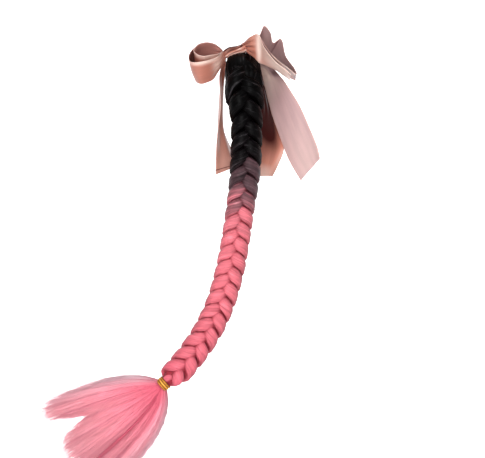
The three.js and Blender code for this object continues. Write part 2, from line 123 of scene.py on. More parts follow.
# Ribbon tables, a row for each section: x1, z1, x2, z2 of the two edges, depth of the middle, and the share
# of the width that gathering leaves.
LOOP_LEFT_INNER = (
    (-27.9, 21.8, -24.2, 11.4, -46, 0.24),
    (-35.4, 15.5, -33.6, -2, -59, 0.62),
    (-45.5, 12.7, -43.4, -12, -67, 0.88),
    (-54.7, 10.5, -51.8, -17.5, -72, 1),
    (-63.3, 12.7, -59, -18, -73, 1),
    (-68.6, 18.5, -63.6, -14, -67, 1),
    (-66, 25.4, -61, -8, -58, 1),
    (-59.8, 30.5, -54.6, -2.8, -51, 1),
    (-49.8, 32.6, -45.5, 0, -46, 1),
    (-38.4, 30.5, -36, 5, -42, 0.8),
    (-30.4, 25, -28.2, 9.4, -41, 0.42),
    (-27.9, 21.8, -24.2, 11.4, -41, 0.24),
)
LOOP_LEFT_OUTER = (
    (-27.9, 21.8, -24.2, 11.4, -51.5, 0.24),
    (-35.4, 10.5, -35.8, -9, -69, 0.66),
    (-45.5, 5, -42, -18, -78, 0.9),
    (-54.7, 1.4, -50.4, -22.6, -84, 1),
    (-63.5, 0, -58, -25, -86, 1),
    (-72.4, 1.4, -64.6, -23, -80, 1),
    (-75, 8.6, -68, -17, -70, 1),
    (-71.6, 19, -66, -9.5, -57, 1),
    (-61, 28.5, -55, -2.5, -44, 1),
    (-46, 30, -42, -1, -37, 1),
    (-33, 26, -31, 9, -36, 0.46),
    (-27.9, 21.8, -24.2, 11.4, -36, 0.24),
)
LOOP_RIGHT_OUTER = (
    (0.1, 32.9, 3.9, 22.5, -51.5, 0.24),
    (9.8, 38.5, 11.2, 14, -67, 0.72),
    (21, 40.6, 21, 5.6, -76, 1),
    (28.8, 21.6, 31.5, 1.6, -81, 1),
    (44.8, 0.8, 47.4, -5.4, -80, 1),
    (55.4, -7.4, 57, -12, -78, 1),
    (65.6, -15.8, 65.9, -18.4, -74, 1),
    (56.5, -4.8, 58, -10, -72.5, 1),
    (46.2, 3.6, 49, -4, -73, 1),
    (30.4, 24, 33.5, 4, -73, 1),
    (21.5, 37.5, 21.8, 7, -69, 1),
    (10.4, 36.5, 11.6, 15, -60.5, 0.72),
    (0.1, 32.9, 3.9, 22.5, -46.4, 0.24),
)
LOOP_RIGHT_INNER = (
    (0.1, 32.9, 3.9, 22.5, -41.2, 0.24),
    (13, 35.6, 14, 14.5, -53, 0.68),
    (25.2, 35, 26.6, 7.5, -62, 1),
    (32.6, 21.6, 36.5, 4, -66, 1),
    (49.8, 3.7, 52.6, -1.7, -66, 1),
    (61, -4.2, 62.6, -9.2, -63, 1),
    (73.8, -13.6, 74.2, -17.4, -55, 1),
    (72.4, -5.4, 65, -12.6, -45, 1),
    (60, 13.6, 50, -2.5, -39, 1),
    (53, 38.8, 37.5, 12.5, -35, 1),
    (42.6, 33.4, 30.5, 15, -31.5, 0.96),
    (38.4, 48.4, 26, 20.5, -28.5, 1),
    (30, 58, 18, 27.5, -26, 1),
    (22.4, 42.5, 13.5, 24.5, -27.5, 0.76),
    (10, 36, 9, 24.8, -32, 0.45),
    (0.1, 32.9, 3.9, 22.5, -36.2, 0.24),
)
TAIL_LEFT = (
    (-26.3, 19.6, -24.7, 15.2, -31, 0.1),
    (-31.5, 1, -24.2, -1, -18, 0.32),
    (-34.4, -20, -26, -20, -28, 0.86),
    (-34.4, -43, -27.4, -43, -33, 1),
    (-34.2, -64, -29, -68, -34, 1),
    (-35.7, -83, -27, -87, -35, 1),
    (-37, -104, -18, -111, -36, 1),
    (-38, -128, -8.4, -127, -37, 1),
    (-38.4, -152, -4.2, -137, -38, 1.05),
)
TAIL_RIGHT_FRONT = (
    (2.8, 24.2, 1.6, 27.6, -30.8, 0.08),
    (12.4, 12.3, 14.8, 17.3, -14, 0.16),
    (22, 6, 31, 13, -10, 0.28),
    (28.2, -8, 48, -6, -16, 0.6),
    (30.6, -25, 60, -22, -30, 0.95),
    (35.5, -47.6, 68.6, -36.4, -38, 1),
    (40.6, -65.8, 79.8, -56, -42, 1),
    (51.8, -96.6, 92.4, -85.4, -45, 1),
    (65.4, -130, 103.6, -114.8, -47, 1),
    (82.6, -159.6, 107, -130, -48, 0.95),
)
TAIL_RIGHT_BACK = (
    (17.2, 0.5, 17.2, 6.5, -26, 0.12),
    (18.2, -7, 26.8, -4.5, -13.5, 0.5),
    (19.5, -18, 29.2, -17, -17, 0.5),
    (22, -30, 35, -30, -17, 0.5),
    (22, -55, 42, -57, -24, 0.66),
    (12, -84, 47.6, -78, -26, 0.96),
    (12.6, -112, 58.8, -112, -26, 1),
    (15.4, -135, 50.4, -137, -28, 1),
    (21, -154, 42, -152.6, -29, 0.85),
)
# Soft bands of painted light and shade on the knot: place along, place round in half turns, spreads along
# and round, strength.
KNOT_PAINTED_LIGHT = ((0.4, 1.25, 0.45, 0.12, 0.7), (0.4, 0.62, 0.4, 0.18, -1.4), (0.8, 0.62, 0.05, 0.22, -1.2),
               (0.97, 0.72, 0.05, 0.12, 0.8), (0.68, 1.0, 0.14, 0.1, 0.9), (0.4, 0.95, 0.6, 0.2, -0.7))
KNOT = {"left": (-28.2, -43, 16.2), "right": (5, -43, 29.4), "tall": 7.6, "deep": 15}


def unit(v):
    """Vectors divided by their length."""
    return v / np.maximum(np.linalg.norm(v, axis=-1, keepdims=True), 1e-9)


def through(points, u):
    """Smooth curve through rows of numbers: centripetal Catmull-Rom cubics, u from 0 to 1 by rows."""
    p = np.asarray(points, float)
    p = np.vstack([2 * p[0] - p[1], p, 2 * p[-1] - p[-2]])
    spans = len(p) - 3
    x = np.clip(np.asarray(u, float), 0, 1) * spans
    k = np.minimum(x.astype(int), spans - 1)
    t = (x - k)[..., None]
    p0, p1, p2, p3 = p[k], p[k + 1], p[k + 2], p[k + 3]

    def knot(a, b):
        return np.sum((b - a) ** 2, axis=-1, keepdims=True) ** 0.25

    d1 = knot(p1, p2)
    d1 = np.where(d1 < 1e-4, 1, d1)
    d0 = knot(p0, p1)
    d0 = np.where(d0 < 1e-4, d1, d0)
    d2 = knot(p2, p3)
    d2 = np.where(d2 < 1e-4, d1, d2)
    s1 = ((p1 - p0) / d0 - (p2 - p0) / (d0 + d1) + (p2 - p1) / d1) * d1
    s2 = ((p2 - p1) / d1 - (p3 - p1) / (d1 + d2) + (p3 - p2) / d2) * d1
    return p1 + s1 * t + (3 * (p2 - p1) - 2 * s1 - s2) * t ** 2 + (2 * (p1 - p2) + s1 + s2) * t ** 3


def make_piece(name, points, quads, tris=None, uv=None, values=None):
    """Object from whole arrays: points in millimetres, faces as index rows, quad UVs and point values."""
    mesh = bpy.data.meshes.new(name)
    quads = np.asarray(quads, np.int32).reshape(-1, 4)
    tris = np.zeros((0, 3), np.int32) if tris is None else np.asarray(tris, np.int32).reshape(-1, 3)
    corners = np.concatenate([quads.ravel(), tris.ravel()])
    sizes = np.concatenate([np.full(len(quads), 4), np.full(len(tris), 3)]).astype(np.int32)
    starts = np.concatenate([[0], np.cumsum(sizes)[:-1]]).astype(np.int32)
    mesh.vertices.add(len(points))
    mesh.vertices.foreach_set("co", (np.asarray(points, np.float32) * MM).ravel())
    mesh.loops.add(len(corners))
    mesh.loops.foreach_set("vertex_index", corners.astype(np.int32))
    mesh.polygons.add(len(sizes))
    mesh.polygons.foreach_set("loop_start", starts)
    mesh.polygons.foreach_set("loop_total", sizes)
    mesh.polygons.foreach_set("use_smooth", np.ones(len(sizes), bool))
    if uv is not None:
        layer = mesh.uv_layers.new(name="surface")
        ends = np.zeros((len(tris) * 3, 2))
        layer.data.foreach_set("uv", np.concatenate([uv.reshape(-1, 2), ends]).astype(np.float32).ravel())
    for key, data in (values or {}).items():
        layer = mesh.attributes.new(key, "FLOAT", "POINT")
        layer.data.foreach_set("value", np.asarray(data, np.float32).ravel())
    mesh.update(calc_edges=True)
    mesh.validate()
    piece = bpy.data.objects.new(name, mesh)
    bpy.context.scene.collection.objects.link(piece)
    return piece


def tube_faces(rows, sides, closed=False):
    """Quads between a tube's rings, and corner UVs from 0 to 1 round and along, unwrapped at the seam.

    A closed tube goes on from its last ring to its first.
    """
    spans = rows if closed else rows - 1
    i, j = np.meshgrid(np.arange(spans), np.arange(sides), indexing="ij")
    i2, j2 = (i + 1) % rows, (j + 1) % sides
    quads = np.stack([i * sides + j, i * sides + j2, i2 * sides + j2, i2 * sides + j], -1)
    uv = np.stack([np.stack([j, i], -1), np.stack([j + 1, i], -1), np.stack([j + 1, i + 1], -1),
                   np.stack([j, i + 1], -1)], -2) / np.array([sides, spans], float)
    return quads.reshape(-1, 4), uv.reshape(-1, 4, 2)


def end_fans(rows, sides):
    """Triangles over a tube's two ends, about two more points that follow its rings."""
    j = np.arange(sides)
    k = (j + 1) % sides
    low = rows * sides
    last = low - sides
    return np.concatenate([np.stack([np.full(sides, low), k, j], -1),
                           np.stack([np.full(sides, low + 1), last + j, last + k], -1)])


def closed_tube(name, rings, values):
    """Closed tube through rings of points (rows, sides, 3), with a fan over each end."""
    rows, sides = rings.shape[:2]
    quads, uv = tube_faces(rows, sides)
    tris = end_fans(rows, sides)
    points = np.concatenate([rings.reshape(-1, 3), rings[:1].mean(1), rings[-1:].mean(1)])
    spread = {key: np.concatenate([data.ravel(), data[0, :1], data[-1, :1]])
              for key, data in values.items()}
    middle = rings[0].mean(0)
    ahead = rings[1].mean(0) - middle
    turn = np.dot(np.cross(rings[0, 0] - middle, rings[0, 1] - middle), ahead)
    if turn < 0:
        quads, tris, uv = quads[:, ::-1], tris[:, ::-1], uv[:, ::-1]
    return make_piece(name, points, quads, tris, uv, values=spread)


def braid_line():
    """The braid's middle line in fine steps: places, directions, half width, the plait's phase, the run."""
    u = np.linspace(0, 1, 901)
    point = through(BRAID[:, :3], u)
    sizes = through(BRAID[:, 3:], u)
    along = unit(np.gradient(point, axis=0))
    side = unit(np.array([1.0, 0, 0]) - along[:, :1] * along)
    front = np.cross(along, side)
    step = np.concatenate([[0], np.linalg.norm(np.diff(point, axis=0), axis=1)])
    phase = np.cumsum(360 * step / (3 * sizes[:, 1]))
    return {"point": point, "along": along, "side": side, "front": front, "half": sizes[:, 0],
            "phase": phase, "run": np.cumsum(step)}


LINE = braid_line()
LAST_PHASE = LINE["phase"][-1]
BRAID_LENGTH = LINE["run"][-1]
TIE_PLACE = LINE["point"][-1]
TIE_AXIS = LINE["along"][-1]


def at_phase(key, phase):
    """Value of the braid's line where the plait has the given phase."""
    data = LINE[key]
    if data.ndim == 1:
        return np.interp(phase, LINE["phase"], data)
    return np.stack([np.interp(phase, LINE["phase"], data[:, i]) for i in range(3)], -1)


def strand_frame(number, phase):
    """Middle of a strand and its two section axes.

    The strand swings aside once, by a sine, while it dives to front and back twice. The swing slants, so
    the plait's lobes lie lower on the left. The strand is a flat band: its short axis is square to its way
    across the plait, so it rolls over at each side.
    """
    lead = np.radians(STRAND_LEAD)

    def middle(p):
        angle = np.radians(p + STRAND_PHASE + number * 120)
        half = at_phase("half", p)[..., None]
        aside = unit(at_phase("side", p)) - STRAND_SLANT * unit(at_phase("along", p))
        return (at_phase("point", p) + aside * STRAND_SWING * half * np.sin(angle)[..., None]
                + unit(at_phase("front", p)) * STRAND_DIVE * half * np.sin(2 * angle + lead)[..., None])
    heading = unit(middle(np.minimum(phase + 2, LAST_PHASE)) - middle(np.maximum(phase - 2, 0)))
    angle = np.radians(phase + STRAND_PHASE + number * 120)[..., None]
    flat = (unit(at_phase("front", phase)) * STRAND_SWING * np.cos(angle)
            - unit(at_phase("side", phase)) * 2 * STRAND_DIVE * np.cos(2 * angle + lead))
    flat = unit(flat - heading * np.sum(flat * heading, -1, keepdims=True))
    across = np.cross(heading, flat)
    half = at_phase("half", phase)[..., None]
    return middle(phase), across * STRAND_WIDE * half, flat * STRAND_DEEP * half


def strand_skin(number, phase, turn):
    """Relief of a strand's skin: broad locks, then finer ridges of fibre, that twist slowly along it."""
    drift = turn + 0.0016 * phase + 0.25 * np.sin(np.radians(phase * 0.9 + 80 * number))
    locks = (-0.045 * np.abs(np.sin(3.5 * drift + number)) ** 0.5
             - 0.02 * np.abs(np.sin(5.5 * drift + 2 * number)))
    ridges = (0.012 * np.sin(17 * drift + 3 * np.sin(np.radians(phase) * 0.7))
              + 0.009 * np.sin(25 * drift + 1.7))
    return 1.035 + locks + ridges


def squared(wave):
    """Cosine or sine of a squarish ellipse."""
    return np.sign(wave) * np.abs(wave) ** (2 / STRAND_SQUARE)


def strand(number):
    """One strand: a squarish ellipse carried along its course, with the relief of its locks and fibres."""
    rows, sides = 520, 76
    phase = np.linspace(0, LAST_PHASE, rows)
    turn = np.linspace(0, 2 * np.pi, sides, endpoint=False)
    middle, across, deep = strand_frame(number, phase)
    skin = strand_skin(number, phase[:, None], turn[None, :])
    rings = (middle[:, None] + across[:, None] * (squared(np.cos(turn)) * skin)[..., None]
             + deep[:, None] * (squared(np.sin(turn)) * skin)[..., None])
    run = at_phase("run", phase)[:, None] - STRAND_LATER[number] + 5 * np.sin(2 * turn + number)
    off = (rings - at_phase("point", phase)[:, None]) / at_phase("half", phase)[:, None, None]
    aside = np.sum(off * unit(at_phase("side", phase))[:, None], -1) / (STRAND_SWING + STRAND_DEEP)
    ahead = np.sum(off * unit(at_phase("front", phase))[:, None], -1) / (STRAND_DIVE + STRAND_DEEP)
    # Painted shade: the nearer a point lies to the braid's middle line, the deeper in a crease it is and
    # the darker it is painted.
    inside = np.clip((0.96 - np.hypot(aside, ahead)) / 0.3, 0, 1)
    return closed_tube(f"braid_strand_{number}", rings, {"hair_run": run, "hair_crease_shade": inside})


def bundle(name, spans, sides, ripple, inside):
    """Bundle of hair along the braid's line: a squarish ellipse, sized by a table of spans.

    spans: place on the line from 0 to 1, half width, half depth. ripple: depth of the grooves along it.
    inside: how much of the plait's painted shade it carries, from 0 to 1.
    """
    spans = np.asarray(spans, float)
    rows = 90
    place = np.linspace(spans[0, 0], spans[-1, 0], rows)
    pick = place * (len(LINE["run"]) - 1)
    steps = np.arange(len(LINE["run"]))
    middle, side, front = (np.stack([np.interp(pick, steps, LINE[key][:, i]) for i in range(3)], -1)
                           for key in ("point", "side", "front"))
    turn = np.linspace(0, 2 * np.pi, sides, endpoint=False)
    grooves = (1 - ripple * np.abs(np.sin(4.5 * turn + 9 * place[:, None])) ** 0.6
               + 0.25 * ripple * np.sin(23 * turn + 40 * place[:, None]))
    wide = np.interp(place, spans[:, 0], spans[:, 1])[:, None] * grooves
    deep = np.interp(place, spans[:, 0], spans[:, 2])[:, None] * grooves
    rings = (middle[:, None] + side[:, None] * (wide * squared(np.cos(turn)))[..., None]
             + front[:, None] * (deep * squared(np.sin(turn)))[..., None])
    run = np.repeat(np.interp(pick, steps, LINE["run"])[:, None], sides, 1)
    return closed_tube(name, rings, {"hair_run": run, "hair_crease_shade": np.full(run.shape, inside)})


def row_place(row):
    """Place on the braid's line of a row of its table."""
    return row / (len(BRAID) - 1)


def root_hair():
    """Gathered hair at the root: it swells out of the ribbon's turn and goes under the first crossings."""
    spans = [(row_place(0.3), 12.2, 12.2), (row_place(1.1), 13.4, 13), (row_place(1.6), 22, 16.5),
             (row_place(2), 24.4, 19.4), (row_place(2.5), 25.2, 19.6), (row_place(3), 26, 18.6),
             (row_place(3.5), 25.6, 17), (row_place(4), 20, 13), (row_place(4.5), 12, 8)]
    return bundle("root_hair", spans, 120, 0.04, 0.3)


def core_hair():
    """Core inside the plait, so that no light comes through its crossings."""
    rows = np.arange(3, len(BRAID) - 0.5, 0.5)
    half = np.interp(rows, np.arange(len(BRAID)), BRAID[:, 3])
    share = np.interp(rows, (3, len(BRAID) - 5, len(BRAID) - 3, len(BRAID) - 1), (0.5, 0.5, 0.72, 0.95))
    spans = np.stack([row_place(rows), half * share, half * share * 0.8], -1)
    # Painted shade: the core is painted as dark as the deepest creases of the plait.
    return bundle("core_hair", spans, 40, 0.05, 1.0)


def fibre_piece(name, paths, radius, values):
    """Many closed three-sided fibres.

    paths is (fibres, steps, 3); radius and each of the values are (fibres, steps).
    """
    fibres, steps = paths.shape[:2]
    heading = unit(np.gradient(paths, axis=1))
    aside = unit(np.cross(heading, np.array([0.31, 0.9, 0.3])))
    other = np.cross(heading, aside)
    turn = np.radians([90, 210, 330])
    rings = (paths[:, :, None] + radius[:, :, None, None] * (aside[:, :, None] * np.cos(turn)[:, None]
                                                              + other[:, :, None] * np.sin(turn)[:, None]))
    quads, uv = tube_faces(steps, 3)
    shift = (np.arange(fibres) * steps * 3)[:, None, None]
    all_quads = (quads[None] + shift).reshape(-1, 4)
    ends = np.array([(2, 1, 0), ((steps - 1) * 3, (steps - 1) * 3 + 1, (steps - 1) * 3 + 2)])
    all_tris = (ends[None] + shift).reshape(-1, 3)
    spread = {key: np.repeat(data.reshape(-1), 3) for key, data in values.items()}
    all_uv = np.tile(uv, (fibres, 1, 1))
    return make_piece(name, rings.reshape(-1, 3), all_quads, all_tris, all_uv, values=spread)


def loose_hairs(count):
    """Stray fibres of the braid: each follows a strand's skin for a while and lifts off it at its ends."""
    steps = 10
    t = np.linspace(0, 1, steps)
    start = rng.uniform(60, LAST_PHASE - 200, count)
    reach = rng.uniform(70, 190, count)
    turn = rng.uniform(0, 2 * np.pi, count)
    drift = rng.normal(0, 0.25, count)
    lift = rng.gamma(2.0, 0.05, count)
    which = rng.integers(1, 4, count)
    paths = np.zeros((count, steps, 3))
    phase = start[:, None] + reach[:, None] * t
    angle = turn[:, None] + drift[:, None] * t
    swell = 1.0 + lift[:, None] * (2 * t - 1) ** 2 + 0.015
    for number in (1, 2, 3):
        pick = which == number
        middle, across, deep = strand_frame(number, phase[pick])
        paths[pick] = (middle + across * (squared(np.cos(angle[pick])) * swell[pick])[..., None]
                       + deep * (squared(np.sin(angle[pick])) * swell[pick])[..., None])
    radius = np.full((count, steps), 0.16) * (0.5 + 0.5 * np.sin(np.pi * (0.1 + 0.85 * t)))
    tone = np.repeat(rng.uniform(0, 1, count)[:, None], steps, 1)
    values = {"hair_run": at_phase("run", phase), "hair_tone_and_shade": tone}
    return fibre_piece("braid_stray_hairs", paths, radius, values)


def fan_path(f, t):
    """Bent path of tassel hair and the direction across it; f is its place from upper to lower side.

    The path is a quadratic curve from the tie over a bend to a tip, all read off the fan's table.
    """
    rows = through(FAN, f)
    start = TIE_PLACE + TIE_AXIS * 3
    depth = np.full(len(rows), TIE_PLACE[1])
    bend = np.stack([rows[:, 0], depth, rows[:, 1]], -1)[:, None]
    tip = np.stack([rows[:, 2], depth, rows[:, 3]], -1)[:, None]
    t = t[..., None]
    path = start * (1 - t) ** 2 + 2 * bend * t * (1 - t) + tip * t ** 2
    slope = (bend - start) * (1 - t) + (tip - bend) * t
    return path, unit(np.cross(slope, np.array([0.0, 1, 0])))


def fan_length(f):
    """Share of its length that hair has at a place of the fan, with a smooth dip at the gap in the tips."""
    place, wide, deep = TIP_GAP
    return 1 - deep * np.exp(-((f - place) / wide) ** 2)


def fan_swell(t):
    """Half thickness of the tassel along its hair, in shares of the widest place."""
    return np.interp(t, (0, 0.1, 0.25, 0.45, 0.7, 0.9, 1), (0.4, 0.46, 0.64, 0.86, 1, 0.98, 0.92))


def tassel_hairs(name, count, f, aside, depth, reach, pale, tone):
    """Loose hair of the tassel: each fibre keeps its place in the fan, waves a little and thins to its tip.

    aside and depth are its places across and through the fan, in shares of the fan's half thickness.
    """
    steps = 9
    t = (reach * fan_length(f))[:, None] * np.linspace(0, 1, steps)
    path, across = fan_path(f, t)
    swell = fan_swell(t)
    wave = 2 * np.pi * (rng.uniform(0.5, 1.5, (count, 1)) * t + rng.uniform(0, 1, (count, 1)))
    size = rng.gamma(2.0, 0.13, (count, 1)) * t ** 1.2
    off_across = FAN_ASIDE * aside[:, None] * swell + size * np.sin(wave)
    off_depth = FAN_DEPTH * depth[:, None] * swell + size * np.cos(wave * 0.8)
    paths = path + across * off_across[..., None] + TO_VIEWER * off_depth[..., None]
    thin = np.linspace(0, 1, steps) ** 2
    radius = rng.uniform(0.22, 0.4, (count, 1)) * (1 - 0.75 * thin)
    run = BRAID_LENGTH + TASSEL_RUN * t
    each = np.repeat(tone[:, None], steps, 1)
    light = pale[:, None] * np.clip(t * 3, 0, 1)
    return fibre_piece(name, paths, radius, {"hair_run": run, "hair_tone_and_shade": each, "hair_pale": light})


def tassel_locks(name, count, side):
    """Hair over one side of the tassel, -1 for the back: it fills the fan and parts along grooves of
    painted shade.
    """
    widest = max(wide for _, wide in GROOVES)
    f = rng.uniform(0.03, 0.99, count)
    tone = rng.uniform(0.6, 1, count) + 0.1 * np.sin(41 * f) + 0.1 * np.sin(95 * f + 1)
    depth = rng.uniform(0.5, 1.05, count)
    first = 0
    for place, wide in GROOVES:
        off = f - place
        near = np.exp(-np.abs(off) / (2.5 * wide))
        f = f + np.sign(off) * wide * near
        # Painted shade: hair near each groove is toned darker, and the first fibres laid into each groove
        # are darkest, less so in the narrower grooves.
        tone = tone * (1 - 12 * wide * near ** 2)
        last = first + int(0.8 * wide * count)
        f[first:last] = rng.normal(place, 0.22 * wide, last - first)
        tone[first:last] = rng.uniform(0, 0.3, last - first) + 14 * (widest - wide)
        depth[first:last] = rng.uniform(0.85, 1.05, last - first)
        first = last
    f = np.clip(f, 0, 1)
    aside = rng.normal(0, 0.1, count) * np.where(np.arange(count) < first, 0.3, 1)
    reach = rng.uniform(0.7, 1.0, count) ** 0.5
    pale = 0.5 * np.clip((0.14 - f) / 0.14, 0, 1) + 0.5 * np.clip((f - 0.93) / 0.07, 0, 1)
    return tassel_hairs(name, count, f, aside, side * depth, reach, pale, tone)


def tassel_veil(count):
    """Thin outer hair of the tassel: sparse towards its upper and lower sides, paler than the locks."""
    f = rng.uniform(0, 1, count)
    edge = rng.uniform(0, 1, count) < 0.72
    low = rng.uniform(0, 1, count) < 0.5
    f = np.where(edge, np.where(low, 1 - rng.exponential(0.03, count), rng.exponential(0.04, count)), f)
    f = np.clip(f, 0, 1)
    out = rng.beta(1.3, 1.9, count)
    aside = np.where(edge, np.where(low, out, -out), rng.normal(0, 0.4, count))
    depth = rng.uniform(-1, 1, count) * np.sqrt(1 - np.clip(np.abs(aside), 0, 0.98) ** 2)
    reach = rng.uniform(0.72, 1.02, count) * np.where(edge & ~low, 1 - 0.45 * out, 1)
    pale = np.where(edge, np.clip(np.where(low, 0.1, 0.4) + 0.7 * out, 0, 1), 0.1)
    return tassel_hairs("tassel_veil", count, f, aside, depth, reach, pale, rng.uniform(0.4, 1, count))


def tassel_body():
    """Body of the tassel under its loose hair: locks as tubes along the fan, in two layers of depth."""
    rows, sides = 40, 24
    t = np.linspace(0, 0.97, rows)
    turn = np.linspace(0, 2 * np.pi, sides, endpoint=False)
    f = np.concatenate([np.linspace(0.12, 0.92, 10), np.linspace(0.16, 0.88, 8)]) + rng.normal(0, 0.012, 18)
    depth = np.concatenate([rng.uniform(2, 4, 10), rng.uniform(-4, -2, 8)])
    along = fan_length(f)[:, None] * t
    middle, across = fan_path(f, along)
    fade = np.clip((rng.uniform(0.9, 0.97, (len(f), 1)) - t) / 0.16, 0.02, 1) ** 0.6
    middle = middle + TO_VIEWER * (depth[:, None] * fan_swell(along))[..., None]
    ripple = 1 + 0.05 * np.sin(9 * turn + 18 * f[:, None, None]) + 0.03 * np.sin(14 * turn + 8 * t[:, None])
    size = (rng.uniform(6, 8, (len(f), 1)) * fan_swell(along) * fade)[..., None] * ripple
    rings = (middle[:, :, None] + across[:, :, None] * (size * np.cos(turn))[..., None]
             + TO_VIEWER * (size * np.sin(turn))[..., None])
    quads, uv = tube_faces(rows, sides)
    ends = end_fans(rows, sides)
    per = rows * sides
    shift = (np.arange(len(f)) * (per + 2))[:, None, None]
    points = np.concatenate([rings.reshape(len(f), per, 3), rings[:, :1].mean(2), rings[:, -1:].mean(2)], 1)
    run = BRAID_LENGTH + np.concatenate([np.repeat(TASSEL_RUN * t, sides), [0.0, 0.9 * TASSEL_RUN]])
    tone = np.repeat(rng.uniform(0.5, 0.9, len(f)), per + 2)
    first = rings[0, 0] - rings[0, 0].mean(0)
    if np.dot(np.cross(first[0], first[1]), TIE_AXIS) < 0:
        quads, ends, uv = quads[:, ::-1], ends[:, ::-1], uv[:, ::-1]
    return make_piece("tassel_body", points.reshape(-1, 3), (quads + shift).reshape(-1, 4),
                      (ends + shift).reshape(-1, 3), np.tile(uv, (len(f), 1, 1)),
                      values={"hair_run": np.tile(run, len(f)), "hair_tone_and_shade": tone})


def ribbon_grid(table, near, rows, columns, sway, ripple, crimp, seed, pleats=4):
    """Middle surface of a ribbon: straight lines between two smooth edges, pleated where it is gathered.

    The near edge, 1 or 2, leans towards the viewer by as much as the width needs. A pleat's height takes
    up the width that gathering hides. Slow waves along the ribbon and a shallow bow across it soften the
    plane.
    """
    table = np.asarray(table, float)
    seen = np.hypot(table[:, 0] - table[:, 2], table[:, 1] - table[:, 3])
    lean = np.sqrt(np.maximum((RIBBON_WIDTH * table[:, 5]) ** 2 - seen ** 2, 0)) / 2
    sign = np.array([-1, 1]) if near == 1 else np.array([1, -1])
    first = np.stack([table[:, 0], table[:, 4] + sign[0] * lean, table[:, 1]], -1)
    second = np.stack([table[:, 2], table[:, 4] + sign[1] * lean, table[:, 3]], -1)
    u = np.linspace(0, 1, rows)
    v = np.linspace(0, 1, columns)
    a, b = through(first, u), through(second, u)
    chord = np.linalg.norm(b - a, axis=1)
    heading = unit(np.gradient(0.5 * (a + b), axis=0))
    normal = unit(np.cross(heading, unit(b - a)))
    wave = chord / pleats
    hidden = np.sqrt(2 * np.maximum((RIBBON_WIDTH / chord) ** 2 - 1, 0))
    height = np.minimum(wave / 6.28 * hidden, 0.3 * wave) * crimp
    fade = np.clip((RIBBON_WIDTH - chord) / 16, 0, 1)
    drift = 0.35 * np.sin(5 * u + seed)
    pleat = (height * fade)[:, None] * np.sin(2 * np.pi * (pleats * v[None] + drift[:, None] + 0.13 * seed))
    pleat *= np.sin(np.pi * np.clip(v * 1.02, 0.02, 0.98)) ** 0.35
    slow = sway * np.sin(np.pi * (2.2 * u[:, None] + 1.3 * v[None] + 0.37 * seed)) * (1 - fade[:, None])
    slow = slow + (ripple * np.sin(2 * np.pi * (1.6 * v[None] + 0.4 * u[:, None]))
                   * np.sin(np.pi * u[:, None]))
    bow = 0.6 * (1 - (2 * v[None] - 1) ** 2) * (1 - fade[:, None])
    lift = normal[:, None] * (pleat + slow + bow)[..., None]
    return a[:, None] * (1 - v)[:, None] + b[:, None] * v[:, None] + lift


def painted_light_bands(along, across, bands):
    """Painted light and shade of folds: the sum of soft bands, each a strength times a bell along and
    across.

    A band is its place along and across, its spread along and across, and its strength.
    """
    return sum(strength * np.exp(-((along - at) / far) ** 2 - ((across - mid) / wide) ** 2)
               for at, mid, far, wide, strength in bands)


def ribbon_piece(name, grid, turned, turned_back, hemmed, bands):
    """Closed wall about a grid of points, thicker at its rims and at a hem; also the ribbon's length.

    turned and turned_back are the ribbon_side of the wall's two sides, 0 for the satin's face and 1 for its
    reverse. ribbon_end is the distance from a hemmed end.
    """
    rows, columns = grid.shape[:2]
    normal = unit(np.cross(np.gradient(grid, axis=0), np.gradient(grid, axis=1)))
    v = np.linspace(0, 1, columns)
    steps = np.linalg.norm(np.diff(grid[:, columns // 2], axis=0), axis=1)
    length = np.concatenate([[0], np.cumsum(steps)])
    end = length[-1] - length if hemmed else np.full(rows, NO_HEM)
    edge = 1 + 0.5 * np.exp(-(np.minimum(v, 1 - v) / 0.012) ** 2) + 0.6 * (end[:, None] < HEM_DEPTH)
    half = (0.5 * RIBBON_THICKNESS * edge)[..., None] * normal
    points = np.concatenate([(grid + half).reshape(-1, 3), (grid - half).reshape(-1, 3)])
    shift = rows * columns
    i, j = np.meshgrid(np.arange(rows - 1), np.arange(columns - 1), indexing="ij")
    a = (i * columns + j).ravel()
    b, c, d = a + 1, a + columns, a + columns + 1
    place = np.stack(np.meshgrid(length / RIBBON_WIDTH, v, indexing="ij"), -1).reshape(-1, 2)[:, ::-1]
    border = np.concatenate([np.arange(columns - 1), np.arange(rows - 1) * columns + columns - 1,
                             rows * columns - 1 - np.arange(columns - 1),
                             (rows - 1 - np.arange(rows - 1)) * columns])
    after = np.roll(border, -1)
    quads = np.concatenate([np.stack([a, c, d, b], -1), np.stack([a, b, d, c], -1) + shift,
                            np.stack([border, after, after + shift, border + shift], -1)])
    uv = np.concatenate([place, place])[quads]
    side = np.concatenate([np.full(shift, float(turned)), np.full(shift, turned_back)])
    ends = np.tile(np.repeat(end, columns), 2)
    # Painted light and shade of the ribbon's folds, from its bands.
    glow = painted_light_bands(np.linspace(0, 1, rows)[:, None], v, bands)
    tint = np.tile(glow.ravel(), 2)
    piece = make_piece(name, points, quads, uv=uv,
                       values={"ribbon_side": side, "ribbon_end": ends, "ribbon_painted_light": tint})
    return piece, length[-1]


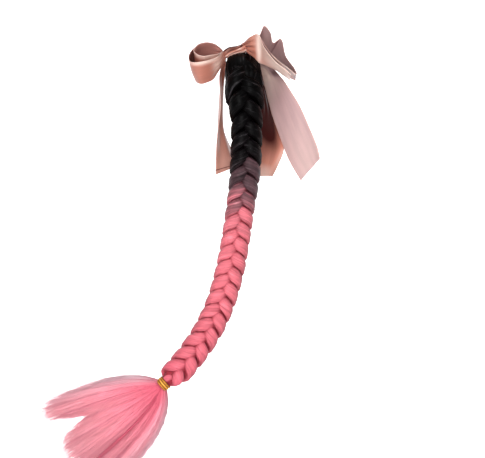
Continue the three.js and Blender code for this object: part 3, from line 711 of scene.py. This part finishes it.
def bow_knot():
    """Knot of the bow: gathered ribbon along a rising axis, its folds along the axis with a slight twist.

    Its section is a flat ellipse with cusped folds, waisted a little right of the middle and tucked in at
    both ends.
    """
    rows, sides = 72, 180
    u = np.linspace(0, 1, rows)
    turn = np.linspace(0, 2 * np.pi, sides, endpoint=False)
    left, right = np.array(KNOT["left"], float), np.array(KNOT["right"], float)
    axis = unit(right - left)
    depth = np.array([0.0, 1, 0])
    up = unit(np.cross(axis, depth))
    swell = np.interp(u, (0, 0.1, 0.35, 0.62, 0.8, 0.92, 1), (0.6, 0.74, 0.86, 0.8, 0.84, 0.92, 0.7))
    twist = turn[None] + 1.1 * u[:, None]
    fold = (0.85 + 0.23 * np.abs(np.sin(3.5 * twist + 0.6 * np.sin(4 * u)[:, None])) ** 0.6
            + 0.04 * np.sin(11 * twist + 2.4 * u[:, None] + 1))
    size = swell[:, None] * fold
    middle = left + (right - left) * u[:, None] + up * (1.1 * np.sin(2 * np.pi * u))[:, None]
    rings = (middle[:, None] + up * (KNOT["tall"] * size * np.sin(turn))[..., None]
             + depth * (KNOT["deep"] * size * np.cos(turn))[..., None])
    # Painted light and shade: lighter on the crests of the knot's folds and darker in their hollows, plus
    # the knot's bands.
    glow = 3 * (fold - 1) + painted_light_bands(u[:, None], turn / np.pi, KNOT_PAINTED_LIGHT)
    away = np.full((rows, sides), NO_HEM)
    return closed_tube("bow_knot_folds", rings, {"ribbon_side": np.zeros((rows, sides)), "ribbon_end": away,
                                                 "ribbon_painted_light": glow})


def ring_about(name, place, axis, profile, sides, relief, values=None):
    """Ring turned about an axis from a closed profile of radius and height, with a relief on the radius."""
    turn = np.linspace(0, 2 * np.pi, sides, endpoint=False)
    level = np.array([0.0, 1, 0]) if abs(axis[1]) < 0.9 else np.array([1.0, 0, 0])
    aside = unit(np.cross(axis, level))
    other = np.cross(axis, aside)
    radius = profile[:, :1] + relief(profile, turn)
    points = (place + radius[..., None] * (aside * np.cos(turn)[:, None] + other * np.sin(turn)[:, None])
              + axis * profile[:, 1][:, None, None])
    quads, uv = tube_faces(len(profile), sides, closed=True)
    area = np.sum(profile[:, 0] * np.roll(profile[:, 1], -1) - np.roll(profile[:, 0], -1) * profile[:, 1])
    if area < 0:
        quads, uv = quads[:, ::-1], uv[:, ::-1]
    spread = {key: np.repeat(data[:, None], sides, 1) for key, data in (values or {}).items()}
    return make_piece(name, points.reshape(-1, 3), quads, uv=uv, values=spread)


def hair_tie():
    """Elastic wound round the braid's end: three plump turns side by side, ribbed along their length."""
    turns, inner, bulge, pitch = 3, 7.9, 1.3, 3.5
    s = np.linspace(0, 1, 10, endpoint=False)
    centre = (np.arange(turns) - (turns - 1) / 2) * pitch
    outer = np.concatenate([np.stack([inner + 1.0 + bulge * np.sin(np.pi * s) ** 0.7,
                                      c - pitch / 2 + pitch * s], -1) for c in centre])
    low, high = -turns * pitch / 2, turns * pitch / 2
    profile = np.concatenate([[(inner, high), (inner, 0), (inner, low)], outer, [(inner + 1.0, high)]])
    out = (profile[:, 0] > inner + 1.2).astype(float)

    def ribs(rows, turn):
        lean = rows[:, 1][:, None] * 1.6
        return 0.12 * out[:, None] * np.sin(64 * turn[None] + lean)

    # Painted light and shade: the tie's colour goes from painted brown shade in the grooves between turns
    # to painted highlights on their crests, brightest at the band's middle.
    tie_shading = np.where(profile[:, 0] > inner, (profile[:, 0] - inner - 1.0) / bulge, 0)
    tie_shading = tie_shading * (0.5 + 0.5 * np.exp(-(profile[:, 1] / 2.4) ** 2))
    return ring_about("gold_tie", TIE_PLACE, TIE_AXIS, profile, 256, ribs, {"tie_painted_light": tie_shading})


def root_wrap():
    """Turn of ribbon round the hair's root: a short band with soft gathers along its length."""
    step = 48
    profile = np.array([(14.7, 5.5), (14.7, 2), (14.7, -2), (14.7, -5.5), (15.5, -5.6), (15.9, -5),
                        (15.8, -3.2), (16.1, -1.6), (15.8, 0), (16.1, 1.7), (15.8, 3.4), (15.9, 5),
                        (15.5, 5.6)])
    side = np.where(profile[:, 0] < 15, 1.0, 0.0)

    def gathers(rows, turn):
        return 0.16 * (rows[:, :1] > 15.6) * np.sin(19 * turn[None] + 0.5 * rows[:, 1:])

    values = {"ribbon_side": side, "ribbon_end": np.full(len(profile), NO_HEM)}
    return ring_about("root_wrap", LINE["point"][step], LINE["along"][step], profile, 144, gathers, values)


def fastening_pad():
    """Fastening pad: a felt disc with a rounded rim and a short collar, turned about the line of sight."""
    profile = np.array([(0.01, 0), (12, 0), (20.2, 0), (20.8, 0.25), (21, 0.8), (21, 3.2), (20.7, 3.8),
                        (20, 4), (15.4, 4), (15.4, 8.6), (15.1, 9), (13.8, 9), (13.5, 8.6), (13.5, 4),
                        (6, 4), (0.01, 4)])

    def nap(rows, turn):
        return 0.08 * (rows[:, :1] > 19) * np.sin(90 * turn[None] + 9 * rows[:, 1:])

    return ring_about("helmet_pad", np.zeros(3), TO_VIEWER, profile, 128, nap)


# Materials

def new_material(name):
    """Empty node material with a Principled shader."""
    material = bpy.data.materials.new(name)
    material.use_nodes = True
    tree = material.node_tree
    tree.nodes.clear()
    output = tree.nodes.new("ShaderNodeOutputMaterial")
    shader = tree.nodes.new("ShaderNodeBsdfPrincipled")
    tree.links.new(shader.outputs["BSDF"], output.inputs["Surface"])
    return material, tree, shader


def fill(tree, node, inputs):
    """Feeds a node's inputs by name or number: a link where the value is a socket, else a constant."""
    for key, value in inputs.items():
        if isinstance(value, bpy.types.NodeSocket):
            tree.links.new(value, node.inputs[key])
        else:
            node.inputs[key].default_value = value
    return node


def add(tree, kind, inputs=None, **settings):
    """Node of a kind, with its settings and then its inputs."""
    node = tree.nodes.new(kind)
    for key, value in settings.items():
        setattr(node, key, value)
    return fill(tree, node, inputs or {})


def maths(tree, operation, *values, clamp=False):
    """Result of a sum on sockets and numbers."""
    node = add(tree, "ShaderNodeMath", dict(enumerate(values)), operation=operation, use_clamp=clamp)
    return node.outputs[0]


def remap(tree, value, low=0.0, high=1.0, to_low=0.0, to_high=1.0, kind="LINEAR"):
    """Value carried from one range to another and held at its ends."""
    sockets = {"Value": value, "From Min": low, "From Max": high, "To Min": to_low, "To Max": to_high}
    return add(tree, "ShaderNodeMapRange", sockets, interpolation_type=kind).outputs[0]


def linear(r, g, b):
    """Linear colour of an sRGB colour given in 0 to 255."""
    c = np.array([r, g, b], float) / 255
    return tuple(np.where(c <= 0.04045, c / 12.92, ((c + 0.055) / 1.055) ** 2.4))


def paint(colour):
    """What a colour socket takes: an sRGB triple made linear, or a socket as it is."""
    return (*linear(*colour), 1) if isinstance(colour, tuple) else colour


def blend(tree, factor, under, over, way="MIX"):
    """Colour laid over another by a factor."""
    sockets = {"Factor": factor, "A": paint(under), "B": paint(over)}
    return add(tree, "ShaderNodeMix", sockets, data_type="RGBA", blend_type=way).outputs["Result"]


def ramp(tree, stops, fac):
    """Colour ramp with stops of position and linear colour, fed by a value."""
    node = add(tree, "ShaderNodeValToRGB", {"Fac": fac})
    node.color_ramp.interpolation = "B_SPLINE"
    points = node.color_ramp.elements
    while len(points) < len(stops):
        points.new(0.5)
    for element, (position, colour) in zip(points, stops):
        element.position = position
        element.color = (*colour, 1)
    return node.outputs["Color"]


def attribute(tree, name):
    """Value that a mesh carries at its points."""
    return add(tree, "ShaderNodeAttribute", attribute_name=name).outputs["Fac"]


def surface_map(tree):
    """The piece's own UV map."""
    return add(tree, "ShaderNodeUVMap", uv_map="surface").outputs["UV"]


def noise(tree, place, scale, detail, roughness):
    """Noise at a place, as a value."""
    sockets = {"Vector": place, "Scale": scale, "Detail": detail, "Roughness": roughness}
    return add(tree, "ShaderNodeTexNoise", sockets).outputs["Fac"]


def drawn_noise(tree, axes, across, along, detail):
    """Noise on a surface, counted by itself across and along it."""
    join = add(tree, "ShaderNodeCombineXYZ", {"X": maths(tree, "MULTIPLY", axes.outputs["X"], across),
                                              "Y": maths(tree, "MULTIPLY", axes.outputs["Y"], along)})
    return noise(tree, join.outputs[0], 1.0, detail, 0.6)


def emboss(tree, shader, height, strength, distance):
    """Bump from a height into a shader's normal."""
    relief = add(tree, "ShaderNodeBump", {"Strength": strength, "Distance": distance, "Height": height})
    fill(tree, shader, {"Normal": relief.outputs["Normal"]})


def group_tree(name, inputs, outputs):
    """Shader node group with named inputs, a surface first and then numbers, and named outputs."""
    tree = bpy.data.node_groups.new(name, "ShaderNodeTree")
    tree.interface.new_socket("Surface", in_out="INPUT", socket_type="NodeSocketVector")
    for key, value in inputs.items():
        tree.interface.new_socket(key, in_out="INPUT", socket_type="NodeSocketFloat").default_value = value
    for key in outputs:
        tree.interface.new_socket(key, in_out="OUTPUT", socket_type="NodeSocketFloat")
    entry = tree.nodes.new("NodeGroupInput")
    axes = add(tree, "ShaderNodeSeparateXYZ", {0: entry.outputs["Surface"]})
    return tree, entry, axes, tree.nodes.new("NodeGroupOutput")


def fibre_grain_group():
    """Grain of hair: a fine and a broad noise drawn out along the fibres.

    It gives a shade about 1, a height for bump and the broad noise alone.
    """
    tree, entry, axes, leave = group_tree("fibre_grain", {"Fine": 46.0, "Drawn Out": 60.0, "Contrast": 0.5},
                                          ("Shade", "Height", "Broad"))
    grains = [drawn_noise(tree, axes, maths(tree, "MULTIPLY", entry.outputs["Fine"], share),
                          maths(tree, "MULTIPLY", entry.outputs["Drawn Out"], share), 3.0)
              for share in (1.0, 0.3)]
    height = maths(tree, "ADD", *grains)
    least = maths(tree, "SUBTRACT", 1.0, entry.outputs["Contrast"])
    fill(tree, leave, {"Shade": remap(tree, height, 0.7, 1.3, least, 1.15), "Height": height,
                       "Broad": grains[1]})
    return tree


def satin_weave_group():
    """Satin weave: fine floats across the ribbon's width and soft streaks along it.

    It gives a shade about 1, a height for bump and a mask of the selvedge.
    """
    tree, entry, axes, leave = group_tree("satin_weave", {"Threads": 90.0, "Streak": 0.2},
                                          ("Shade", "Height", "Selvedge"))
    across, along = (maths(tree, "MULTIPLY", entry.outputs["Threads"], share) for share in (0.35, 1.0))
    threads = drawn_noise(tree, axes, across, along, 2.0)
    drawn = add(tree, "ShaderNodeVectorMath", {0: entry.outputs["Surface"], 1: (2.0, 0.3, 1)},
                operation="MULTIPLY")
    broad = noise(tree, drawn.outputs[0], 3.0, 2.0, 0.5)
    streaks = maths(tree, "MULTIPLY_ADD", threads, 0.45, broad)
    least = maths(tree, "SUBTRACT", 1.05, entry.outputs["Streak"])
    off = maths(tree, "ABSOLUTE", maths(tree, "SUBTRACT", axes.outputs["X"], 0.5))
    fill(tree, leave, {"Shade": remap(tree, streaks, 0.5, 0.95, least, 1.05), "Height": threads,
                       "Selvedge": remap(tree, off, 0.462, 0.48)})
    return tree


FIBRE_GRAIN = fibre_grain_group()
SATIN_WEAVE = satin_weave_group()

# Colour of the hair along its run from the root, as run in millimetres and sRGB colour.
HAIR_SHADES = (
    (0, (2, 2, 2)), (160, (4, 3, 4)), (178, (28, 22, 24)), (192, (76, 58, 62)), (212, (96, 69, 75)),
    (230, (134, 87, 93)), (246, (192, 106, 116)), (272, (228, 119, 130)),
    (BRAID_LENGTH - 120, (208, 104, 116)), (BRAID_LENGTH - 20, (204, 99, 112)),
    (BRAID_LENGTH + 10, (206, 86, 109)), (BRAID_LENGTH + 70, (252, 150, 169)),
    (BRAID_LENGTH + 150, (253, 198, 205)),
)
# Millimetres over which the grain mixes neighbouring shades, and the run at which the ramp ends.
HAIR_SPREAD = 60
HAIR_END = BRAID_LENGTH + 200


def hair_material(name, fine, drawn_out, contrast, bump, tone=0.0, rim=0.8):
    """Synthetic hair: colour by its run from the root, broken up by fibre grain, with a soft gloss.

    Painted grey glints lie on the grain's peaks. It has painted shade in the creases of the plait and is
    painted greyer at a glancing angle, as shade at its edges. Loose hair has a tone of its own, painted
    darker as shade along the tassel's grooves, and a paleness of its own.
    """
    material, tree, shader = new_material(name)
    grain = add(tree, "ShaderNodeGroup", {"Surface": surface_map(tree), "Fine": fine,
                                          "Drawn Out": drawn_out, "Contrast": contrast},
                node_tree=FIBRE_GRAIN)
    height = grain.outputs["Height"]
    run = maths(tree, "MULTIPLY_ADD", grain.outputs["Broad"], HAIR_SPREAD, attribute(tree, "hair_run"))
    stops = [((place + HAIR_SPREAD / 2) / HAIR_END, linear(*shade)) for place, shade in HAIR_SHADES]
    colour = ramp(tree, stops, maths(tree, "MULTIPLY", run, 1 / HAIR_END))
    if tone:
        lack = remap(tree, attribute(tree, "hair_tone_and_shade"), to_low=tone, to_high=0.0)
        colour = blend(tree, lack, colour, (178, 86, 118), "MULTIPLY")
        colour = blend(tree, attribute(tree, "hair_pale"), colour, (222, 188, 197))
    colour = blend(tree, 1.0, colour, grain.outputs["Shade"], "MULTIPLY")
    # Painted glints: a grey added to the base colour on the grain's peaks, where the coat also gives real
    # gloss.
    glint = remap(tree, height, 1.12, 1.4, to_high=0.9)
    colour = blend(tree, glint, colour, (78, 74, 78), "ADD")
    if rim:
        # Painted shade: darker in the plait's creases.
        crease = remap(tree, attribute(tree, "hair_crease_shade"), to_high=0.85, kind="SMOOTHSTEP")
        colour = blend(tree, crease, colour, (158, 84, 98), "MULTIPLY")
        # Painted shade at the edges: greyer where the surface is seen at a glancing angle.
        facing = add(tree, "ShaderNodeLayerWeight", {"Blend": 0.4})
        glance = remap(tree, facing.outputs["Facing"], 0.45, to_high=rim)
        colour = blend(tree, glance, colour, (140, 124, 144), "MULTIPLY")
    fill(tree, shader, {"Base Color": colour, "Coat Weight": glint, "Coat Roughness": 0.25,
                        "Roughness": remap(tree, height, 0.0, 1.6, 0.2, 0.5), "Specular IOR Level": 0.05})
    if bump:
        emboss(tree, shader, height, bump, 0.0008)
    return material


def satin_material(name, face, reverse):
    """Satin ribbon: a lustrous face and a duller reverse, with fine floats, streaks and a pale selvedge.

    Both are deeper at a glancing angle. Bands of painted light and shade lighten or darken it, the pale
    selvedge is partly a painted highlight, and a hem has a dark seam.
    """
    material, tree, shader = new_material(name)
    weave = add(tree, "ShaderNodeGroup", {"Surface": surface_map(tree)}, node_tree=SATIN_WEAVE)
    side = attribute(tree, "ribbon_side")
    facing = add(tree, "ShaderNodeLayerWeight", {"Blend": 0.35})
    aslant = blend(tree, side, (158, 88, 74), (152, 112, 118))
    colour = blend(tree, facing.outputs["Facing"], blend(tree, side, face, reverse), aslant)
    colour = blend(tree, 1.0, colour, weave.outputs["Shade"], "MULTIPLY")
    # The pale selvedge is partly the ribbon's woven edge and partly a painted highlight along it.
    selvedge = maths(tree, "MULTIPLY", weave.outputs["Selvedge"], 0.55)
    colour = blend(tree, selvedge, colour, (226, 182, 172))
    # Painted light and shade: positive bands mix in a pale highlight colour, negative bands a dark red
    # shadow colour.
    painted_bands = attribute(tree, "ribbon_painted_light")
    for strength, tint in ((1, (255, 226, 213)), (-1, (56, 9, 6))):
        colour = blend(tree, maths(tree, "MULTIPLY", painted_bands, strength, clamp=True), colour, tint)
    seam = maths(tree, "COMPARE", attribute(tree, "ribbon_end"), *SEAM)
    colour = blend(tree, seam, colour, (132, 84, 78))
    fill(tree, shader, {"Base Color": colour, "Roughness": remap(tree, side, to_low=0.3, to_high=0.45),
                        "Specular IOR Level": 0.2, "Sheen Weight": 0.03, "Sheen Roughness": 0.35,
                        "Sheen Tint": paint((255, 214, 200))})
    emboss(tree, shader, weave.outputs["Height"], 0.12, 0.0003)
    return material


def gold_material():
    """Gold elastic: ribbed turns with painted highlights, and painted brown shade in the grooves between
    them.
    """
    material, tree, shader = new_material("gold_elastic")
    grain = add(tree, "ShaderNodeGroup", {"Surface": surface_map(tree), "Fine": 70, "Drawn Out": 30,
                                          "Contrast": 0.4}, node_tree=FIBRE_GRAIN)
    stops = [(0.0, linear(52, 26, 8)), (0.45, linear(170, 100, 28)), (0.9, linear(252, 184, 76))]
    colour = ramp(tree, stops, attribute(tree, "tie_painted_light"))
    colour = blend(tree, 1.0, colour, grain.outputs["Shade"], "MULTIPLY")
    fill(tree, shader, {"Base Color": colour, "Metallic": 0.5,
                        "Roughness": remap(tree, grain.outputs["Height"], to_low=0.3, to_high=0.5)})
    return material


def felt_material():
    """Black felt of the fastening pad: matt nap with lighter flecks."""
    material, tree, shader = new_material("pad_felt")
    place = tree.nodes.new("ShaderNodeTexCoord")
    nap = noise(tree, place.outputs["Object"], 900.0, 4.0, 0.7)
    colour = ramp(tree, [(0.3, linear(14, 14, 16)), (0.75, linear(48, 47, 50))], nap)
    fill(tree, shader, {"Base Color": colour, "Roughness": 0.92, "Sheen Weight": 0.3})
    emboss(tree, shader, nap, 0.5, 0.0006)
    return material


def dress(piece, material, slot, *nodes):
    """Gives a piece its material and body, and hides the solids that it stands for."""
    piece.data.materials.append(material)
    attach(piece, "root")
    if nodes:
        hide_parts(*nodes)
    return piece


# Hair

STRAND_HAIR = hair_material("plaited_hair", 46, 60, 0.36, 0.5)
ROOT_HAIR = hair_material("gathered_hair", 90, 5, 0.45, 0.5)
LOOSE_HAIR = hair_material("loose_hair", 1.5, 2.0, 0.1, 0.0, tone=0.9, rim=0.0)
BODY_HAIR = hair_material("tassel_body_hair", 40, 6, 0.4, 0.4, tone=0.5, rim=0.0)

for number in (1, 2, 3):
    dress(strand(number), STRAND_HAIR, "hair", f"strand_{number}")
dress(root_hair(), ROOT_HAIR, "hair")
dress(core_hair(), STRAND_HAIR, "hair")
dress(loose_hairs(420), LOOSE_HAIR, "hair")
dress(tassel_body(), BODY_HAIR, "hair", "tassel")
dress(tassel_locks("tassel_front_hair", 3400, 1), LOOSE_HAIR, "hair")
dress(tassel_locks("tassel_back_hair", 1500, -1), LOOSE_HAIR, "hair")
dress(tassel_veil(2700), LOOSE_HAIR, "hair")

# Ribbon

SATIN = satin_material("rose_satin", (206, 136, 117), (200, 165, 165))

# Node, table, near edge, rows, columns, sway, ripple, how it is held, then its look: which face of the
# satin is on either side, whether it has a hem, bands of painted light and shade.
RIBBONS = (
    ("loop_left_inner", LOOP_LEFT_INNER, 1, 150, 33, 0.5, 0, "gathered", 0, 0.3, False,
     ((0.2, 0.05, 0.3, 0.1, 0.9), (0.62, 0.3, 0.14, 0.5, -0.35), (0.8, 0.1, 0.1, 0.4, -0.1))),
    ("loop_left_outer", LOOP_LEFT_OUTER, 1, 150, 33, 0.6, 0, "gathered", 0, 0.3, False,
     ((0.26, 0.04, 0.25, 0.1, 0.9), (0.1, 0.45, 0.06, 0.35, 0.7), (0.6, 0.3, 0.16, 0.6, -0.45))),
    ("loop_right_inner", LOOP_RIGHT_INNER, 1, 190, 33, 0.5, 0, "gathered", 1, 0, False,
     ((0.28, 0.0, 0.11, 0.2, 1.2), (0.28, 0.55, 0.12, 0.25, -0.4), (0.52, 0.5, 0.1, 0.8, 0.12),
      (0.52, 0.0, 0.08, 0.025, -0.6), (0.625, 0.3, 0.012, 0.5, -0.3), (0.72, 0.0, 0.06, 0.03, -0.5),
      (0.73, 0.4, 0.06, 0.6, 0.25))),
    ("loop_right_outer", LOOP_RIGHT_OUTER, 1, 170, 33, 0.5, 0, "gathered", 1, 0, False,
     ((0.175, 0.4, 0.03, 0.7, 1.0), (0.1, 0.85, 0.06, 0.3, -0.3), (0.4, 0.4, 0.17, 0.7, 1.2),
      (0.64, 0.3, 0.1, 0.8, -0.55))),
    ("tail_left", TAIL_LEFT, 1, 140, 45, 0.9, 2.0, "hung", 0, 1, True,
     ((0.45, 0.8, 0.25, 0.2, -0.6), (0.42, 0.2, 0.25, 0.3, 0.35), (0.95, 0.4, 0.16, 0.6, 0.2))),
    ("tail_right_front", TAIL_RIGHT_FRONT, 2, 140, 29, 1.4, 0, "hung", 1, 0, False,
     ((0.335, 0.8, 0.035, 0.3, -0.8), (0.32, 0.2, 0.06, 0.35, 1.4), (0.42, 0.0, 0.18, 0.25, 0.5),
      (0.4, 0.4, 0.12, 0.5, 0.4), (0.95, 0.5, 0.2, 0.8, 0.2))),
    ("tail_right_back", TAIL_RIGHT_BACK, 1, 140, 29, 1.2, 0, "hung", 0, 1, False,
     ((0.3, 0.5, 0.3, 0.9, -1.1), (0.63, 0.6, 0.16, 0.45, -1.1), (0.78, 0.95, 0.1, 0.14, 0.6),
      (0.97, 0.4, 0.1, 0.5, 0.45))),
)
for order, (node, table, near, rows, columns, sway, ripple, held, *look) in enumerate(RIBBONS, 1):
    grid = ribbon_grid(table, near, rows, columns, sway, ripple, RIBBON_CRIMP[held], order)
    piece, length = ribbon_piece(f"ribbon_{node}", grid, *look)
    dress(piece, SATIN, "ribbon", node)

dress(bow_knot(), SATIN, "ribbon", "bow_knot")
wrap = dress(root_wrap(), SATIN, "ribbon", "ribbon_wrap")
dress(hair_tie(), gold_material(), "tie", "hair_tie")
dress(fastening_pad(), felt_material(), "pad", "fastening_pad")


# Studio

def studio():
    """Pale floor that curves up into a wall, soft lights and the camera at the photograph's angle."""
    rows, columns = 60, 2
    s = np.linspace(0, 1, rows)
    arc = np.clip((s - 0.5) / 0.25, 0, 1) * np.pi / 2
    near, flat, bend, low, tall = -3600, 7400, 900, -760, 3600
    y = np.where(s < 0.5, near + s / 0.5 * flat, near + flat + bend * np.sin(arc))
    z = np.where(s < 0.75, low + bend * (1 - np.cos(arc)), low + bend + (s - 0.75) / 0.25 * tall)
    x = np.array([-6000.0, 6000.0])
    points = np.stack([np.broadcast_to(x, (rows, columns)), np.broadcast_to(y[:, None], (rows, columns)),
                       np.broadcast_to(z[:, None], (rows, columns))], -1)
    i = np.arange(rows - 1)
    quads = np.stack([i * 2, i * 2 + 1, i * 2 + 3, i * 2 + 2], -1)
    floor = make_piece("studio_floor", points.reshape(-1, 3), quads)
    material, tree, shader = new_material("studio_paper")
    place = tree.nodes.new("ShaderNodeTexCoord")
    axes = add(tree, "ShaderNodeSeparateXYZ", {0: place.outputs["Object"]})
    glow = remap(tree, axes.outputs["Y"], 0.8, 1.5, 0.35, 1.0)
    fill(tree, shader, {"Base Color": (0.9, 0.9, 0.9, 1), "Roughness": 0.9, "Emission Color": glow,
                        "Emission Strength": 1.0})
    floor.data.materials.append(material)

    world = bpy.data.worlds.new("studio_world")
    world.use_nodes = True
    background = world.node_tree.nodes["Background"]
    fill(world.node_tree, background, {"Color": (1, 1, 1, 1), "Strength": 0.4})
    bpy.context.scene.world = world

    for name, place, aim, size, spread, power in (
        ("key_light", (-0.4, -2.1, 0.6), (0, -0.06, -0.2), 0.7, 180, 17),
        ("front_light", (0.05, -2.6, -0.15), (0, -0.06, -0.2), 0.8, 180, 14.5),
        ("low_light", (-0.5, -1.4, -0.4), (-0.36, -0.06, -0.62), 0.5, 60, 2.0),
        ("top_light", (0.1, -0.3, 1.8), (0, -0.06, -0.2), 1.0, 180, 5),
    ):
        light = bpy.data.lights.new(name, "AREA")
        light.size = size
        light.spread = math.radians(spread)
        light.energy = power
        lamp = bpy.data.objects.new(name, light)
        lamp.location = place
        direction = np.array(aim, float) - np.array(place, float)
        lamp.rotation_mode = "QUATERNION"
        lamp.rotation_quaternion = Vector(direction).to_track_quat("-Z", "Y")
        bpy.context.scene.collection.objects.link(lamp)

    camera = bpy.data.cameras.new("camera")
    camera.sensor_fit = "HORIZONTAL"
    camera.sensor_width = 36
    distance = 2.4
    depth = -0.06
    camera.lens = 36 * distance / (FRAME_PIXELS[0] * MM_PER_PIXEL * MM)
    eye = bpy.data.objects.new("camera", camera)
    eye.location = ((FRAME_PIXELS[0] / 2 - ORIGIN_PIXEL[0]) * MM_PER_PIXEL * MM, depth - distance,
                    (ORIGIN_PIXEL[1] - FRAME_PIXELS[1] / 2) * MM_PER_PIXEL * MM)
    eye.rotation_euler = (math.pi / 2, 0, 0)
    bpy.context.scene.collection.objects.link(eye)
    bpy.context.scene.camera = eye
    bpy.context.scene.view_settings.view_transform = "Standard"


studio()
